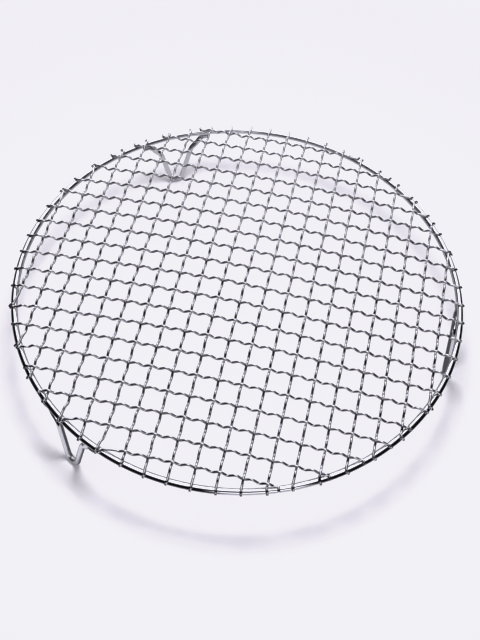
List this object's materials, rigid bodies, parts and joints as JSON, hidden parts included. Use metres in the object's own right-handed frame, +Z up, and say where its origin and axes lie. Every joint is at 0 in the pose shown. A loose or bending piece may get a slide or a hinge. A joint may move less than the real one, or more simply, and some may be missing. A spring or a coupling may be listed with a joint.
{
  "type": "cooling rack",
  "caption": "Round woven-wire cooling rack: a domed mesh of crimped wires bent over a heavy wire rim, standing on bent-wire feet.",
  "frame": {"origin": "on the floor the feet stand on, under the centre of the rim ring", "axes": "+Z up, +X towards the right-hand foot and along the mesh's row wires, +Y towards the rear and along the column wires"},
  "size_m": [0.2316, 0.2325, 0.0515],
  "materials": {
    "rim_steel": "bright polished drawn wire",
    "mesh_steel": "bright polished fine crimped wire",
    "foot_steel": "bright drawn wire, slightly duller than the rim"
  },
  "bodies": {
    "root": {"rim_ring": "rim_steel", "mesh_row_wire_01": "mesh_steel", "mesh_row_wire_02": "mesh_steel", "mesh_row_wire_03": "mesh_steel", "mesh_row_wire_04": "mesh_steel", "mesh_row_wire_05": "mesh_steel", "mesh_row_wire_06": "mesh_steel", "mesh_row_wire_07": "mesh_steel", "mesh_row_wire_08": "mesh_steel", "mesh_row_wire_09": "mesh_steel", "mesh_row_wire_10": "mesh_steel", "mesh_row_wire_11": "mesh_steel", "mesh_row_wire_12": "mesh_steel", "mesh_row_wire_13": "mesh_steel", "mesh_row_wire_14": "mesh_steel", "mesh_row_wire_15": "mesh_steel", "mesh_row_wire_16": "mesh_steel", "mesh_row_wire_17": "mesh_steel", "mesh_row_wire_18": "mesh_steel", "mesh_row_wire_19": "mesh_steel", "mesh_row_wire_20": "mesh_steel", "mesh_column_wire_01": "mesh_steel", "mesh_column_wire_02": "mesh_steel", "mesh_column_wire_03": "mesh_steel", "mesh_column_wire_04": "mesh_steel", "mesh_column_wire_05": "mesh_steel", "mesh_column_wire_06": "mesh_steel", "mesh_column_wire_07": "mesh_steel", "mesh_column_wire_08": "mesh_steel", "mesh_column_wire_09": "mesh_steel", "mesh_column_wire_10": "mesh_steel", "mesh_column_wire_11": "mesh_steel", "mesh_column_wire_12": "mesh_steel", "mesh_column_wire_13": "mesh_steel", "mesh_column_wire_14": "mesh_steel", "mesh_column_wire_15": "mesh_steel", "mesh_column_wire_16": "mesh_steel", "mesh_column_wire_17": "mesh_steel", "mesh_column_wire_18": "mesh_steel", "mesh_column_wire_19": "mesh_steel", "mesh_column_wire_20": "mesh_steel", "foot_right": "foot_steel", "foot_rear_left": "foot_steel", "foot_front_left": "foot_steel"}
  },
  "joints": []
}
